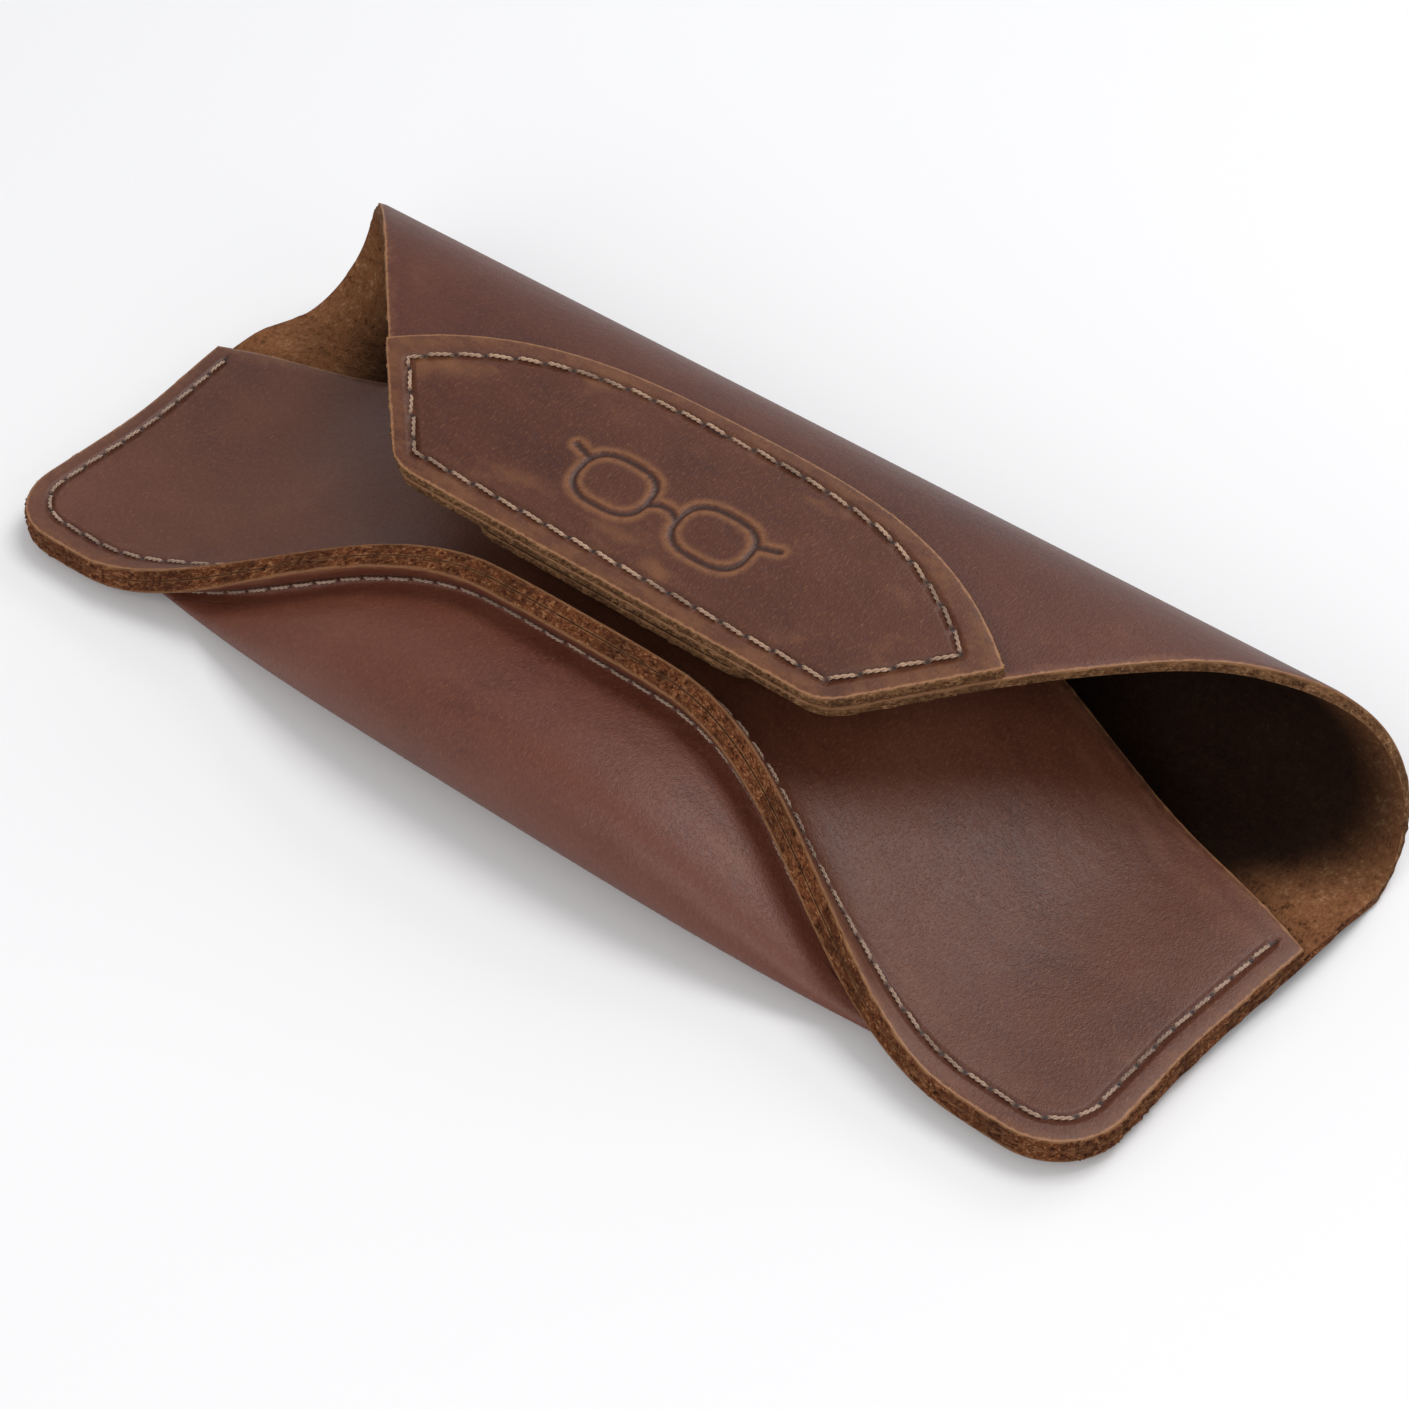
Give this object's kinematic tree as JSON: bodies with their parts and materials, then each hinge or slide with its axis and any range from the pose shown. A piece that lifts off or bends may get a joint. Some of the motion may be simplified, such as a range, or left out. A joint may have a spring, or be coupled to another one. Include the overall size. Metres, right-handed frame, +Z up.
{
  "type": "eyeglasses case",
  "caption": "Soft leather eyeglasses case: one sheet folds round the glasses into a tapering flap with a sewn-on patch, closed by hidden magnets; the front panel is sewn along the edge.",
  "frame": {"origin": "on the surface that the case lies on, at the middle of its width and about the middle of its depth", "axes": "+X along the case, +Y towards the folded back, +Z up out of the closed flap"},
  "size_m": [0.1728, 0.0692, 0.0312],
  "materials": {
    "shell_leather": "waxed smooth grain, reddish brown, suede flesh side",
    "panel_leather": "waxed smooth grain, brown, suede flesh side",
    "patch_leather": "waxed pull-up grain, lighter at its edges",
    "lining_leather": "unfinished split",
    "thread": "twisted tan thread",
    "magnet": "nickel plated"
  },
  "bodies": {
    "case_body": {"outer_shell": "shell_leather", "front_panel": "panel_leather", "seam_needle_thread": "thread", "seam_bobbin_thread": "thread", "panel_magnet": "magnet", "magnet_cover": "lining_leather", "cover_thread": "thread"},
    "flap_body": {"flap": "shell_leather", "flap_patch": "patch_leather", "flap_backing": "lining_leather", "flap_magnet": "magnet", "patch_needle_thread": "thread", "patch_bobbin_thread": "thread"}
  },
  "joints": [
    {"name": "flap_hinge", "type": "hinge", "parent": "case_body", "child": "flap_body", "pos_m": [0, 0.02749, 0.02342], "axis": [-1, 0, 0], "range_deg": [0, 120]}
  ]
}
